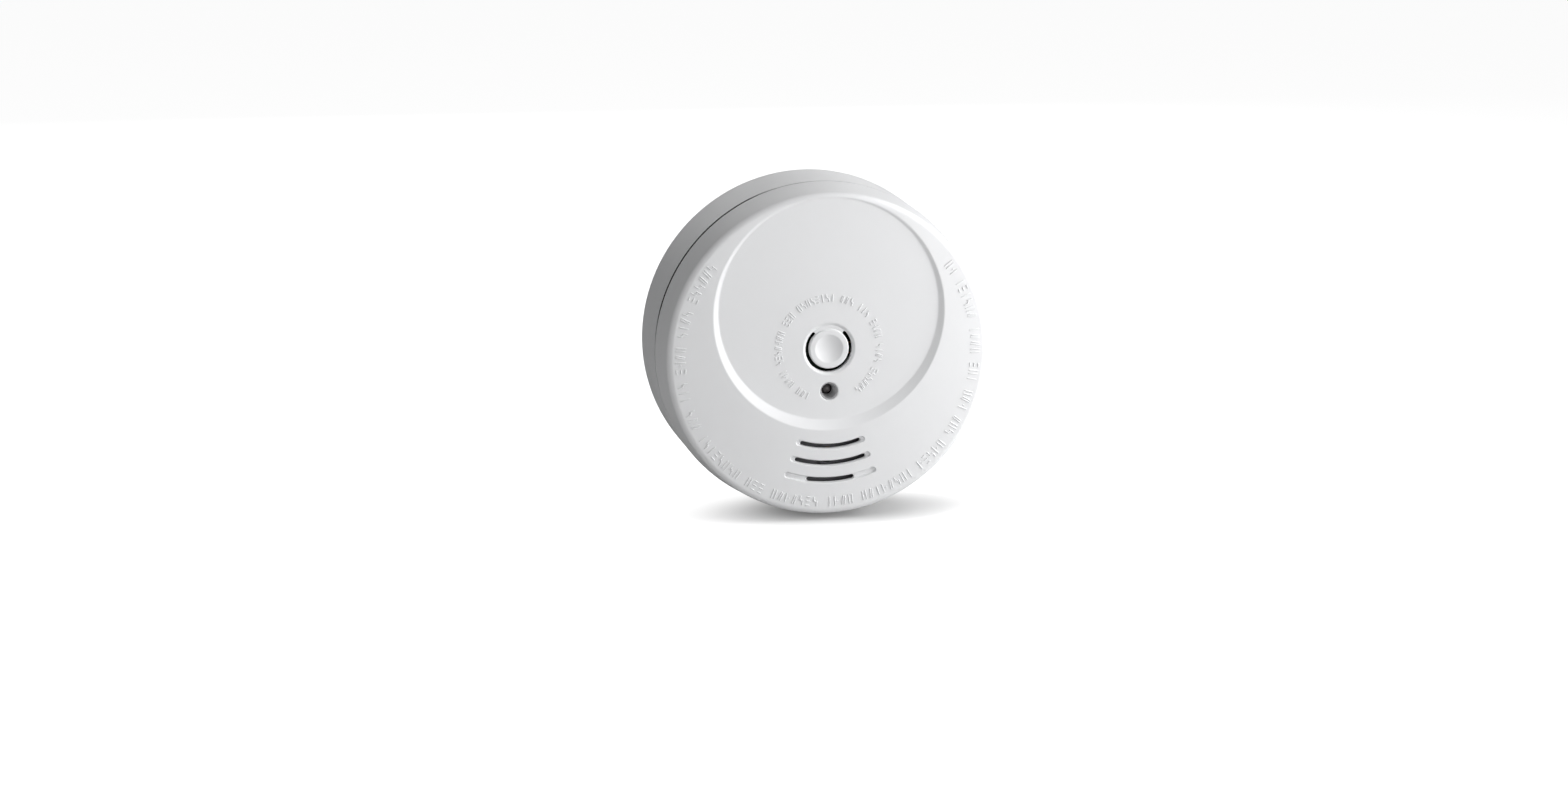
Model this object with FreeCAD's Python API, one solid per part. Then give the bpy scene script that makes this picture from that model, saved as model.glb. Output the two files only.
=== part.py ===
import FreeCAD, Part
import math
import os

# Battery smoke alarm, 100 mm across.  Every piece is modelled lying on its back: local Z is the
# distance out from the wall, local X is right and local Y is up as seen from the room.  save() then
# stands each piece up, so that in the finished frame +Y points into the wall, -Y into the room and
# +Z up, with the origin at the centre of the mounting plate's back face.  All sizes in millimetres.
# A name that ends in low, high, level or top is a distance from the wall.

over_cut = 1.0

# Casing
body_radius = 50.0
seam_radius = 49.6
wall = 2.0
rim_back = 0.3
rim_chamfer = 0.6
seam_low = 21.95
seam_high = 22.95
edge_level = 35.2
edge_radius = 47.95
edge_rounding = 2.0
dome_top = edge_level + 1.82
dome_curve = 673.0
inner_face = edge_level - 2.0
inner_chamfer = 0.8
floor_low = 5.0
floor_high = 6.8
floor_radius = body_radius - wall - 0.2
snap_angles = (45, 135, 225, 315)
snap_low = 17.0
tongue_outer = 47.2
tongue_inner = 45.8
tongue_half = 4.5
nib_outer = 48.0
nib_high = 18.6
snap_window = (16.6, 19.4)
snap_window_half = 6.0
spacer_lug_count = 8
spacer_lug_half = 2.2

# Mounting plate and its bayonet
plate_radius = 44.0
plate_thick = 1.6
plate_chamfer = 0.4
plate_bead = (39.2, 38.0, 1.2)
plate_window = (52.0, 30.0)
window_frame = 1.5
window_frame_high = 2.2
window_corner = 3.0
screw_spacing = 60.0
screw_slot_width = 4.4
screw_slot_length = 8.0
vent_angles = (30, 150, 210, 330)
vent_radius = 34.0
vent_width = 3.0
vent_half = 5.0
bayonet_angles = (90, 210, 330)
bayonet_half = 8.0
lip_low = 3.0
lip_high = 4.4
lip_radius = 46.2
leg_outer = 43.9
leg_inner = 41.6
stop_half = 1.0
stop_foot_low = 0.6
tab_inner = 44.4
tab_outer = 48.5
tab_low = 1.6
tab_gap = 0.3

# Face features
recess_y = 13.6
recess_foot = 32.9
recess_run = 2.0
recess_rise = 4.0
button_y = 1.9
button_radius = 5.95
button_well = 7.0
button_thick = 1.5
button_top = edge_level - 0.12
button_low = button_top - button_thick
button_rim = 0.45
dish_radius = 4.2
dish_depth = 0.65
countersink_radius = 7.75
countersink_depth = 0.5
neck_half = 38.0
film_thick = 0.5
film_top = edge_level - countersink_depth
film_overlap = 0.15
stem_radius = 1.4
rib_length = 7.0
rib_thick = 0.9
rib_height = 1.2
slot_middle = -89.5
slot_radii = (27.2, 32.35, 37.5)
slot_cut_halves = (18.0, 18.0, 10.0)
slot_cut_width = 1.3
groove_half = 20.2
groove_width = 1.6
groove_depth = 0.7
pocket_y = -33.5
pocket_radius = 11.8
pocket_level = 34.7

# Indicator: a tapered bore in the face, lined by a thin grey funnel
led_y = -10.8
led_radius = 1.5
led_tip = 32.1
led_body = 2.1
led_flange = 0.6
funnel_wall = 0.25
funnel_low = 31.2
funnel_throat = 1.6
funnel_throat_level = 32.0
funnel_mouth = 2.35
funnel_high = 34.85
collar_radius = 3.05

# Battery bay: a nine-volt block lies across the back with its snaps at +X
battery_length = 45.6
battery_width = 26.2
battery_thick = 17.2
battery_left = -24.3
battery_low = 2.4
battery_corner = 2.2
battery_edge = 0.8
battery_level = battery_low + battery_thick / 2
battery_right = battery_left + battery_length
snap_offset = 6.35
snap_height = 2.9
stud_radius = 2.85
socket_radius = 4.1
socket_bore = 2.9
bay_half_x = 26.6
bay_half_y = 14.0
bay_wall = 1.3
bay_front = 20.2
bay_corner = 2.0
contact_x = bay_half_x - 1.0
contact_thick = 0.35
contact_width = 5.0

# Circuit board and what stands on it
board_radius = 44.0
board_low = 22.6
board_thick = 1.6
board_high = board_low + board_thick
stand_off = 0.1
lead_reach = 0.8
lead_low = board_low - lead_reach
lead_pitch = 2.54
screw_places = ((36.5, 12.0), (-36.5, 12.0), (30.0, -26.0), (-30.0, -26.0))
boss_radius = 3.2
boss_rib = (11.0, 1.2)
pilot_radius = 1.15
screw_hole = 1.6
screw_head = (2.5, 2.1, 1.7)
screw_shank = 1.1
cross_slot = (2.6, 0.6, 0.8)
switch_size = 6.0
switch_height = 3.4
switch_leg_x = switch_size / 2 + 0.13
switch_leg_y = 2.25
plunger_radius = 1.6
plunger_top = 28.4
plunger_length = 2.1
plunger_gap = 0.1

# Components, by the middle of each
chip_x = -24.0
chip_y = -4.0
chip_rows = 8
chip_row_x = 3.81
chip_size = (6.4, 19.6, 3.3)
capacitor_places = ((22.5, -11.0), (31.5, -9.5))
capacitor_radius = 3.15
capacitor_height = 7.1
choke_x = 23.5
choke_y = 1.5
choke_pitch = 2.0
choke_radius = 4.0
choke_waist = 3.2
choke_height = 7.0
choke_flange = 1.2
resistor_x = 13.0
resistor_start_y = -8.0
resistor_step = 3.2
resistor_rows = 4
resistor_reach = 5.08
resistor_length = 6.3
resistor_end = 1.15
resistor_waist = 0.95
ceramic_places = ((-34.5, -2.0), (-34.5, -9.0), (32.5, 2.0))
ceramic_radius = 2.6
ceramic_thick = 2.0
transistor_places = ((-30.5, -17.0), (-22.0, -18.5))
transistor_radius = 2.4
transistor_height = 4.6
diode_x = 21.0
diode_y = -19.0
diode_reach = 5.0
diode_radius = 1.35
diode_length = 5.2

# Optical chamber
chamber_y = 27.0
chamber_radius = 15.2
chamber_high = 31.3
chamber_floor = 1.1
cap_high = 32.6
cap_outer = 15.95
cap_skirt = 0.9
cap_ridges = (6.0, 11.0)
optic_angles = (205, 335)
optic_level = 28.4
optic_start = 6.6
optic_radius = 2.45
optic_barrel = 3.4
holder_size = (7.2, 7.4)
holder_reach = 10.4
optic_pin_reaches = (4.0, 6.5)
optic_pin_drop = 8.0
vane_count = 26
vane_clearance = 25
vane_rows = ((13.6, 40), (12.0, -40))
vane_size = (2.6, 0.6)
screen_outer = 15.75
screen_inner = 15.4
screen_windows = 36
screen_window = 2.0
screen_border = 0.8

# Horn
horn_y = -30.5
horn_radius = 14.4
horn_high = 31.0
horn_seat = 12.75
horn_bore = 11.9
horn_floor = 1.0
disc_level = 28.6
disc_radius = 12.5
disc_thick = 0.25
ceramic_disc_radius = 9.0
horn_mouth = 2.4
horn_cap_thick = 1.4
horn_pin_places = ((0.0, 5.2), (-4.6, -3.0), (4.6, -3.0))
horn_pin_radius = 0.45


def vec(x, y, z=0.0):
    return FreeCAD.Vector(x, y, z)


def polar(radius, degrees, z=0.0):
    angle = math.radians(degrees)
    return vec(radius * math.cos(angle), radius * math.sin(angle), z)


def rod(radius, low, high, x=0.0, y=0.0):
    return Part.makeCylinder(radius, high - low, vec(x, y, low))


def bar(radius, length, start, direction):
    return Part.makeCylinder(radius, length, start, direction)


def cone(low_radius, high_radius, low, high, x=0.0, y=0.0):
    return Part.makeCone(low_radius, high_radius, high - low, vec(x, y, low))


def tube(outer, inner, low, high, x=0.0, y=0.0):
    return rod(outer, low, high, x, y).cut(rod(inner, low - over_cut, high + over_cut, x, y))


def block(size_x, size_y, low, high, x=0.0, y=0.0):
    corner = vec(x - size_x / 2, y - size_y / 2, low)
    return Part.makeBox(size_x, size_y, high - low, corner)


def rounded_block(size_x, size_y, low, high, radius, x=0.0, y=0.0):
    body = block(size_x, size_y, low, high, x, y)
    upright = [e for e in body.Edges if abs(e.tangentAt(e.FirstParameter).z) > 0.9]
    return body.makeFillet(radius, upright)


def turned(profile, x=0.0, y=0.0):
    """Solid of revolution from (radius, level) corners, about an upright line through (x, y)."""
    points = [vec(radius, 0.0, level) for radius, level in profile]
    face = Part.Face(Part.makePolygon(points + points[:1]))
    solid = face.revolve(vec(0, 0), vec(0, 0, 1), 360)
    solid.translate(vec(x, y))
    return solid


def sector(outer, inner, low, high, middle, half):
    """Block bent round the axis, half degrees to each side of middle."""
    start, end = middle - half, middle + half
    rim = Part.Arc(polar(outer, start, low), polar(outer, middle, low), polar(outer, end, low))
    core = Part.Arc(polar(inner, end, low), polar(inner, middle, low), polar(inner, start, low))
    sides = [Part.makeLine(polar(outer, end, low), polar(inner, end, low)),
             Part.makeLine(polar(inner, start, low), polar(outer, start, low))]
    outline = Part.Wire([rim.toShape(), sides[0], core.toShape(), sides[1]])
    return Part.Face(outline).extrude(vec(0, 0, high - low))


def arc_slot(radius, width, low, high, middle, half):
    """Curved slot about the axis, its round ends centred half degrees from middle."""
    body = sector(radius + width / 2, radius - width / 2, low, high, middle, half)
    ends = [polar(radius, middle + side * half) for side in (-1, 1)]
    return body.multiFuse([rod(width / 2, low, high, end.x, end.y) for end in ends])


def strip(points, thick, width, middle_y):
    """Bent sheet: a centre line of (x, level) points given a thickness, then a width along Y."""
    left, right = [], []
    for index, (x, z) in enumerate(points):
        before = points[max(index - 1, 0)]
        after = points[min(index + 1, len(points) - 1)]
        run = math.hypot(after[0] - before[0], after[1] - before[1])
        across_x = (before[1] - after[1]) / run * thick / 2
        across_z = (after[0] - before[0]) / run * thick / 2
        left.append(vec(x + across_x, middle_y - width / 2, z + across_z))
        right.append(vec(x - across_x, middle_y - width / 2, z - across_z))
    outline = left + right[::-1]
    face = Part.Face(Part.makePolygon(outline + outline[:1]))
    return face.extrude(vec(0, width, 0))


def turned_about(shape, degrees, x=0.0, y=0.0):
    copy = shape.copy()
    copy.rotate(vec(x, y), vec(0, 0, 1), degrees)
    return copy


def group(solids):
    return Part.Compound(solids)


def save(name, shape):
    """Stand the piece up on the wall and write it."""
    piece = shape.copy()
    piece.rotate(vec(0, 0), vec(1, 0, 0), 90)
    piece.exportStep(os.path.join("parts", name + ".step"))


def lead(x, y, top, radius=0.3):
    """Round wire from below the board up to a level."""
    return rod(radius, lead_low, top, x, y)


def side_radius(level):
    """Outside radius of the cover's tapered side wall."""
    share = (level - seam_high) / (edge_level - seam_high)
    return seam_radius + (edge_radius - seam_radius) * share


# Mounting plate

def bayonet_hook(middle):
    """Leg and lip that a tab of the housing slides under, with the stop that ends the turn."""
    stop_middle = middle - bayonet_half - 1.5 * stop_half
    web_middle = stop_middle + stop_half
    return [sector(leg_outer, leg_inner, plate_thick, lip_high, middle, bayonet_half),
            sector(lip_radius, leg_inner, lip_low, lip_high, middle, bayonet_half),
            sector(lip_radius, leg_inner, plate_thick, lip_high, stop_middle, stop_half),
            sector(leg_outer, leg_inner, plate_thick, lip_high, web_middle, stop_half),
            sector(lip_radius, leg_inner, stop_foot_low, plate_thick, stop_middle, stop_half)]


def screw_slot(middle_y):
    straight = screw_slot_length - screw_slot_width
    low, high = -over_cut, plate_thick + over_cut
    slot = block(screw_slot_width, straight, low, high, 0, middle_y)
    ends = [rod(screw_slot_width / 2, low, high, 0, middle_y + side * straight / 2) for side in (-1, 1)]
    return slot.multiFuse(ends)


def mounting_plate():
    plate = turned([(0, 0), (plate_radius, 0), (plate_radius, plate_thick - plate_chamfer),
                    (plate_radius - plate_chamfer, plate_thick), (0, plate_thick)])
    bead_outer, bead_inner, bead_height = plate_bead
    additions = [tube(bead_outer, bead_inner, plate_thick, plate_thick + bead_height)]
    frame_x, frame_y = [size + 2 * window_frame for size in plate_window]
    additions.append(rounded_block(frame_x, frame_y, plate_thick, window_frame_high, window_corner + 1))
    for middle in bayonet_angles:
        additions += bayonet_hook(middle)
    for piece in additions:
        plate = plate.fuse(piece)
    window_top = window_frame_high + over_cut
    plate = plate.cut(rounded_block(*plate_window, -over_cut, window_top, window_corner))
    for side in (-1, 1):
        plate = plate.cut(screw_slot(side * screw_spacing / 2))
    for middle in vent_angles:
        vent = arc_slot(vent_radius, vent_width, -over_cut, plate_thick + over_cut, middle, vent_half)
        plate = plate.cut(vent)
    return plate.removeSplitter()


# Rear housing

def board_boss(x, y):
    """Post that a board screw bites into, tied to the casing wall by a rib."""
    post = rod(boss_radius, floor_low + 0.5, board_low, x, y)
    rib_length, rib_width = boss_rib
    rib_middle = math.hypot(x, y) + rib_length / 2 - 1.0
    rib = block(rib_length, rib_width, floor_low + 0.5, board_low - 6.0, rib_middle, 0)
    return [post, turned_about(rib, math.degrees(math.atan2(y, x)))]


def rear_housing():
    shell = turned([(body_radius - rim_chamfer, rim_back), (body_radius, rim_back + rim_chamfer),
                    (seam_radius, seam_low), (seam_radius - wall, seam_low),
                    (floor_radius, floor_high), (0, floor_high), (0, floor_low),
                    (floor_radius, floor_low), (floor_radius, rim_back)])
    additions = [rounded_block(2 * (bay_half_x + bay_wall), 2 * (bay_half_y + bay_wall), floor_low,
                               bay_front + 1.0, bay_corner)]
    for x, y in screw_places:
        additions += board_boss(x, y)
    for middle in bayonet_angles:
        additions.append(sector(tab_outer, tab_inner, tab_low, lip_low - tab_gap, middle, bayonet_half))
    for index in range(spacer_lug_count):
        middle = (index + 0.5) * 360 / spacer_lug_count
        additions.append(sector(seam_radius - 1.2, seam_radius - 3.0, seam_low - 4.0, seam_high, middle,
                                spacer_lug_half))
    housing = shell.multiFuse(additions)
    housing = housing.cut(block(2 * bay_half_x, 2 * bay_half_y, floor_low - over_cut, bay_front))
    for side in (-1, 1):
        housing = housing.cut(block(1.6, 6.4, bay_front - over_cut, bay_front + 2 * over_cut, contact_x,
                                    side * snap_offset))
    for x, y in screw_places:
        housing = housing.cut(rod(pilot_radius, board_low - 8.0, board_low + over_cut, x, y))
    for middle in snap_angles:
        housing = housing.cut(sector(seam_radius - 0.9, tongue_inner + 0.2, *snap_window, middle,
                                     snap_window_half))
    return housing.removeSplitter()


# Front cover

def recess_cutter():
    """Cone-sided cutter of the off-centre recess, as a free-form surface, which meets the dome cleanly."""
    cutter = cone(recess_foot, recess_foot + recess_rise * recess_run, edge_level, edge_level + recess_rise,
                  0, recess_y)
    return cutter.toNurbs()


def cover_outside():
    """The cover's outer form: tapered side, rounded front edge and shallow dome in one turned shape."""
    foot = vec(seam_radius, 0, seam_high)
    along = vec(edge_radius - seam_radius, 0, edge_level - seam_high).normalize()
    inward = vec(-along.z, 0, along.x)
    centre = vec(0, 0, dome_top - dome_curve)
    start = foot + inward * edge_rounding - centre
    reach = dome_curve - edge_rounding
    run = -start.dot(along) + math.sqrt(start.dot(along) ** 2 - start.dot(start) + reach ** 2)
    round_middle = centre + start + along * run
    side_end = round_middle - inward * edge_rounding
    outward = (round_middle - centre).normalize()
    dome_start = round_middle + outward * edge_rounding
    corner = round_middle + (outward - inward).normalize() * edge_rounding
    crown = centre + (outward + vec(0, 0, 1)).normalize() * dome_curve
    peak = vec(0, 0, dome_top)
    base = vec(0, 0, seam_high)
    edges = [Part.makeLine(base, foot), Part.makeLine(foot, side_end),
             Part.Arc(side_end, corner, dome_start).toShape(),
             Part.Arc(dome_start, crown, peak).toShape(), Part.makeLine(peak, base)]
    return Part.Face(Part.Wire(edges)).revolve(vec(0, 0), vec(0, 0, 1), 360)


def cover_inside():
    foot = side_radius(seam_high) - wall
    top = side_radius(inner_face) - wall
    return turned([(0, seam_high - over_cut), (foot, seam_high - over_cut), (foot, seam_high),
                   (top, inner_face - inner_chamfer), (top - inner_chamfer, inner_face), (0, inner_face)])


def snap_hook(middle):
    tongue = sector(tongue_outer, tongue_inner, snap_low, inner_face + 0.5, middle, tongue_half)
    nib = sector(nib_outer, tongue_inner, snap_low, nib_high, middle, tongue_half)
    return [tongue, nib]


def funnel_outside(low, high):
    """Form of the indicator's bore between two levels: straight at first, then opening to the face."""
    slope = (funnel_mouth - funnel_throat) / (funnel_high - funnel_throat_level)
    throat = funnel_throat + funnel_wall
    mouth = throat + slope * (high - funnel_throat_level)
    profile = [(0, low), (throat, low), (throat, funnel_throat_level), (mouth, high), (0, high)]
    return turned(profile, 0, led_y)


def front_cover():
    cover = cover_outside().cut(cover_inside()).cut(recess_cutter())
    additions = [rod(collar_radius, funnel_low, inner_face + 0.5, 0, led_y)]
    for middle in snap_angles:
        additions += snap_hook(middle)
    cover = cover.multiFuse(additions)
    cover = cover.cut(rod(button_well, inner_face - over_cut, edge_level + over_cut, 0, button_y))
    cover = cover.cut(cone(button_well, countersink_radius, edge_level - countersink_depth, edge_level,
                           0, button_y))
    cover = cover.cut(funnel_outside(funnel_low - over_cut, edge_level))
    cover = cover.cut(rod(pocket_radius, inner_face - over_cut, pocket_level, 0, pocket_y))
    for radius, half in zip(slot_radii, slot_cut_halves):
        surface = dome_top - radius ** 2 / (2 * dome_curve)
        groove = arc_slot(radius, groove_width, surface - groove_depth, surface + over_cut, slot_middle,
                          groove_half)
        sound_slot = arc_slot(radius, slot_cut_width, inner_face - over_cut, surface, slot_middle, half)
        cover = cover.cut(groove).cut(sound_slot)
    return cover


def lamp_funnel():
    slope = (funnel_mouth - funnel_throat) / (funnel_high - funnel_throat_level)
    inside = turned([(0, funnel_low - over_cut), (funnel_throat, funnel_low - over_cut),
                     (funnel_throat, funnel_throat_level),
                     (funnel_mouth + slope * over_cut, funnel_high + over_cut), (0, funnel_high + over_cut)],
                    0, led_y)
    return funnel_outside(funnel_low, funnel_high).cut(inside)


# Test button and its switch

def test_button():
    disc = rod(button_radius, button_low, button_top, 0, button_y)
    rim = [e for e in disc.Edges if e.BoundBox.ZMin > button_top - 0.1 and e.BoundBox.XLength > 1]
    disc = disc.makeFillet(button_rim, rim)
    ball = (dish_radius ** 2 + dish_depth ** 2) / (2 * dish_depth)
    disc = disc.cut(Part.makeSphere(ball, vec(0, button_y, button_top - dish_depth + ball)))
    film = sector(button_well - 0.1, button_radius - film_overlap, film_top - film_thick, film_top, 90,
                  neck_half)
    film.translate(vec(0, button_y, 0))
    tip_level = plunger_top + plunger_gap + stem_radius
    stem = rod(stem_radius, tip_level, button_low + 0.2, 0, button_y)
    tip = Part.makeSphere(stem_radius, vec(0, button_y, tip_level))
    rib_low, rib_high = button_low - rib_height, button_low + 0.2
    ribs = [block(rib_length, rib_thick, rib_low, rib_high, 0, button_y),
            block(rib_thick, rib_length, rib_low, rib_high, 0, button_y)]
    return disc.multiFuse([film, stem, tip] + ribs).removeSplitter()


def switch_body():
    low = board_high + stand_off
    high = low + switch_height
    body = rounded_block(switch_size, switch_size, low, high, 0.4, 0, button_y)
    body = body.cut(rod(plunger_radius + 0.08, high - 2.0, high + over_cut, 0, button_y))
    legs = []
    for side_x in (-1, 1):
        for side_y in (-1, 1):
            legs.append(block(0.3, 0.7, lead_low, low + 1.0, side_x * switch_leg_x,
                              button_y + side_y * switch_leg_y))
    return body.multiFuse(legs)


def switch_plunger():
    return rod(plunger_radius, plunger_top - plunger_length, plunger_top, 0, button_y)


# Circuit board

def resistor_places():
    rows = [resistor_start_y + row * resistor_step for row in range(resistor_rows)]
    return [(side * resistor_x, y) for side in (-1, 1) for y in rows]


def chip_row_y(row):
    return chip_y + (row - (chip_rows - 1) / 2) * lead_pitch


def paired_leads(places, reach, radius):
    """Hole on each side of every place."""
    return [(x + side * reach, y, radius) for x, y in places for side in (-1, 1)]


def lead_holes():
    """Every (x, y, radius) in the board that a lead goes through."""
    holes = paired_leads([(chip_x, chip_row_y(row)) for row in range(chip_rows)], chip_row_x, 0.5)
    switch_rows = [(0.0, button_y + side * switch_leg_y) for side in (-1, 1)]
    holes += paired_leads(switch_rows, switch_leg_x, 0.55)
    holes += paired_leads([(0.0, led_y)], lead_pitch / 2, 0.45)
    holes += paired_leads([(diode_x, diode_y)], diode_reach, 0.5)
    holes += paired_leads(capacitor_places, lead_pitch / 2, 0.45)
    holes += paired_leads(ceramic_places, lead_pitch / 2, 0.4)
    holes += paired_leads(resistor_places(), resistor_reach, 0.45)
    for reach in optic_pin_reaches:
        holes += paired_leads([(0.0, chamber_y - optic_pin_drop)], reach, 0.5)
    for step in (-1, 0, 1):
        holes += [(x + step * lead_pitch / 2, y, 0.4) for x, y in transistor_places]
        holes.append((choke_x + step * choke_pitch, choke_y, 0.45))
    holes += [(x, horn_y + y, horn_pin_radius + 0.15) for x, y in horn_pin_places]
    return holes


def circuit_board():
    low, high = board_low - over_cut, board_high + over_cut
    plate = rod(board_radius, board_low, board_high)
    for side in (-1, 1):
        plate = plate.cut(block(2.0, 6.0, low, high, contact_x, side * snap_offset))
    for x, y in screw_places:
        plate = plate.cut(rod(screw_hole, low, high, x, y))
    return plate.cut(group([rod(radius, low, high, x, y) for x, y, radius in lead_holes()]))


def board_screw(x, y):
    foot_radius, top_radius, height = screw_head
    length, width, depth = cross_slot
    head = cone(foot_radius, top_radius, board_high, board_high + height, x, y)
    screw = head.fuse(rod(screw_shank, board_low - 6.0, board_high, x, y))
    for turn in (0, 90):
        arm = block(length, width, board_high + depth, board_high + height + over_cut, x, y)
        screw = screw.cut(turned_about(arm, turn, x, y))
    return screw


def board_screws():
    return group([board_screw(x, y) for x, y in screw_places])


def control_chip():
    width, length, height = chip_size
    low = board_high + 0.5
    shoulder_low, shoulder_high = low + 1.4, low + 1.7
    body = rounded_block(width, length, low, low + height, 0.2, chip_x, chip_y)
    body = body.cut(rod(0.8, low + height - 0.3, low + height + over_cut, chip_x, chip_y + length / 2))
    legs = []
    for side in (-1, 1):
        for row in range(chip_rows):
            legs.append(block(0.9, 1.3, shoulder_low, shoulder_high, chip_x + side * (chip_row_x - 0.26),
                              chip_row_y(row)))
            legs.append(block(0.3, 0.5, lead_low, shoulder_high, chip_x + side * chip_row_x,
                              chip_row_y(row)))
    return body.multiFuse(legs)


def electrolytic_capacitor(x, y):
    low = board_high + stand_off
    high = low + capacitor_height
    waist = capacitor_radius - 0.2
    can = turned([(0, low), (capacitor_radius, low), (capacitor_radius, low + 0.9), (waist, low + 1.2),
                  (capacitor_radius, low + 1.5), (capacitor_radius, high - 0.3),
                  (capacitor_radius - 0.3, high), (0, high)], x, y)
    for turn in (45, 135):
        can = can.cut(turned_about(block(3.4, 0.3, high - 0.2, high + over_cut, x, y), turn, x, y))
    return can.multiFuse([lead(x + side * lead_pitch / 2, y, low + 0.5) for side in (-1, 1)])


def electrolytic_capacitors():
    return group([electrolytic_capacitor(x, y) for x, y in capacitor_places])


def horn_choke():
    low = board_high + stand_off
    high = low + choke_height
    core = turned([(0, low), (choke_radius, low), (choke_radius, low + choke_flange),
                   (choke_waist, low + choke_flange), (choke_waist, high - choke_flange),
                   (choke_radius, high - choke_flange), (choke_radius, high), (0, high)], choke_x, choke_y)
    return core.multiFuse([lead(choke_x + step * choke_pitch, choke_y, low + 0.5) for step in (-1, 0, 1)])


def bent_wire(x, y, reach, radius, level):
    """Wire straight through a lying part, bent down at both ends into the board."""
    pieces = [bar(radius, 2 * reach, vec(x - reach, y, level), vec(1, 0, 0))]
    for side in (-1, 1):
        pieces.append(lead(x + side * reach, y, level, radius))
        pieces.append(Part.makeSphere(radius, vec(x + side * reach, y, level)))
    return pieces


def resistor(x, y):
    level = board_high + resistor_end + 0.2
    cap = 1.4
    profile = [(0, 0), (resistor_end, 0), (resistor_end, cap), (resistor_waist, cap + 0.4),
               (resistor_waist, resistor_length - cap - 0.4), (resistor_end, resistor_length - cap),
               (resistor_end, resistor_length), (0, resistor_length)]
    body = turned(profile)
    body.rotate(vec(0, 0), vec(0, 1, 0), 90)
    body.translate(vec(x - resistor_length / 2, y, level))
    return body.multiFuse(bent_wire(x, y, resistor_reach, 0.28, level))


def resistors():
    return group([resistor(x, y) for x, y in resistor_places()])


def ceramic_capacitor(x, y):
    middle = board_high + ceramic_radius + 0.8
    disc = bar(ceramic_radius, ceramic_thick, vec(x, y - ceramic_thick / 2, middle), vec(0, 1, 0))
    rims = [e for e in disc.Edges if min(e.BoundBox.ZLength, e.BoundBox.XLength) > ceramic_radius]
    disc = disc.makeFillet(0.7, rims)
    return disc.multiFuse([lead(x + side * lead_pitch / 2, y, middle - 1.5, 0.28) for side in (-1, 1)])


def ceramic_capacitors():
    return group([ceramic_capacitor(x, y) for x, y in ceramic_places])


def transistor(x, y):
    low = board_high + 1.5
    high = low + transistor_height
    body = rod(transistor_radius, low, high, x, y)
    body = body.cut(block(6.0, 3.0, low - over_cut, high + over_cut, x, y - transistor_radius - 0.5))
    return body.multiFuse([lead(x + step * lead_pitch / 2, y, low + 1.0, 0.24) for step in (-1, 0, 1)])


def transistors():
    return group([transistor(x, y) for x, y in transistor_places])


def reverse_diode():
    level = board_high + diode_radius + 0.15
    body = bar(diode_radius, diode_length, vec(diode_x - diode_length / 2, diode_y, level), vec(1, 0, 0))
    return body.multiFuse(bent_wire(diode_x, diode_y, diode_reach, 0.38, level))


def indicator_led():
    tip_centre = led_tip - led_radius
    flange_high = tip_centre - led_body
    bulb = rod(led_radius, flange_high, tip_centre, 0, led_y)
    additions = [Part.makeSphere(led_radius, vec(0, led_y, tip_centre)),
                 rod(led_radius + 0.2, flange_high - led_flange, flange_high, 0, led_y)]
    for side in (-1, 1):
        leg_x = side * lead_pitch / 2
        additions.append(block(0.5, 0.5, lead_low, flange_high - led_flange / 2, leg_x, led_y))
    return bulb.multiFuse(additions)


def led_spacer():
    high = led_tip - led_radius - led_body - led_flange - 0.1
    sleeve = rod(2.4, board_high, high, 0, led_y)
    for side in (-1, 1):
        sleeve = sleeve.cut(rod(0.5, board_high - over_cut, high + over_cut, side * lead_pitch / 2, led_y))
    return sleeve


# Optical chamber

def about_chamber(shape, degrees):
    """Swing a shape that stands on +X round to its angle about the chamber's middle."""
    shape.rotate(vec(0, 0), vec(0, 0, 1), degrees)
    shape.translate(vec(0, chamber_y, 0))
    return shape


def optic_axis(degrees):
    """Direction from the chamber's middle towards an optical part, and the part's inner end."""
    out = polar(1.0, degrees)
    start = out * optic_start + vec(0, chamber_y, optic_level)
    return out, start


def near_optics(angle):
    return any(abs((angle - middle + 180) % 360 - 180) < vane_clearance for middle in optic_angles)


def chamber_base():
    low = board_high + stand_off
    inside = low + chamber_floor - 0.1
    pieces = []
    for index in range(vane_count):
        angle = index * 360.0 / vane_count
        if near_optics(angle):
            continue
        for reach, skew in vane_rows:
            vane = block(*vane_size, inside, chamber_high)
            vane.rotate(vec(0, 0), vec(0, 0, 1), skew)
            vane.translate(vec(reach, 0, 0))
            pieces.append(about_chamber(vane, angle))
    for middle in optic_angles:
        pieces.append(about_chamber(block(*holder_size, inside, chamber_high, holder_reach, 0), middle))
    base = rod(chamber_radius, low, low + chamber_floor, 0, chamber_y).multiFuse(pieces)
    for middle in optic_angles:
        out, start = optic_axis(middle)
        base = base.cut(bar(optic_radius + 0.15, 9.0, start + out * 0.8, out))
        base = base.cut(bar(1.6, 3.0, start - out * 1.5, out))
    return base.common(rod(chamber_radius, low, chamber_high, 0, chamber_y))


def optic_part(middle):
    """Five-millimetre lensed part lying in its tunnel, dome towards the chamber's middle."""
    out, start = optic_axis(middle)
    nose = start + out * optic_barrel
    barrel = bar(optic_radius, optic_barrel, nose, out)
    dome = Part.makeSphere(optic_radius, nose)
    tail = bar(0.9, 0.6, nose + out * optic_barrel, out)
    return barrel.fuse(dome).fuse(tail)


def infrared_emitter():
    return optic_part(optic_angles[0])


def photodiode():
    return optic_part(optic_angles[1])


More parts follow.
